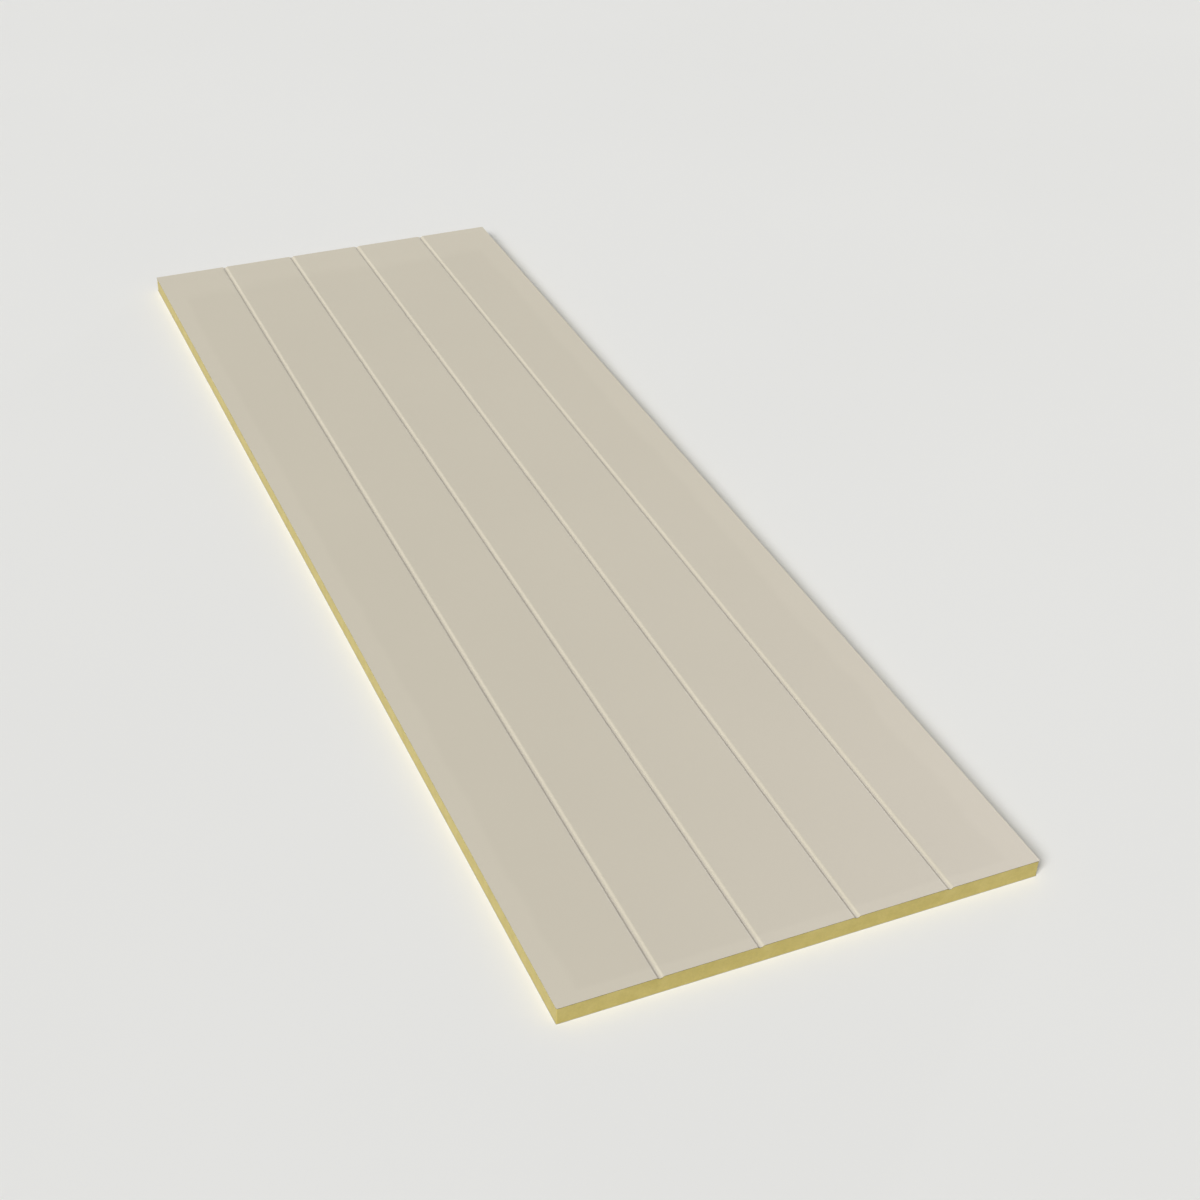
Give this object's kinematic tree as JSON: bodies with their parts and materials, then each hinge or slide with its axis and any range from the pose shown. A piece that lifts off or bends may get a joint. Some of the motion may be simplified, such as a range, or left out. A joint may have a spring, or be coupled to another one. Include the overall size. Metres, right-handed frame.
{
  "type": "insulated wall panel",
  "caption": "Flat insulated wall panel: a rigid yellow foam core bonded between a grooved painted steel outer sheet and a plain inner sheet.",
  "frame": {"origin": "centre of the inner face, which the panel lies on", "axes": "+X across the panel, +Y along the grooves, +Z out through the grooved outer face"},
  "size_m": [1, 3, 0.04],
  "materials": {
    "facing_paint": "satin cream coil coating on galvanised steel",
    "rigid_foam": "sawn rigid polyurethane foam, fine closed cells",
    "liner_paint": "satin pale grey coil coating on galvanised steel"
  },
  "bodies": {
    "root": {"outer_facing": "facing_paint", "foam_core": "rigid_foam", "inner_facing": "liner_paint"}
  },
  "joints": []
}
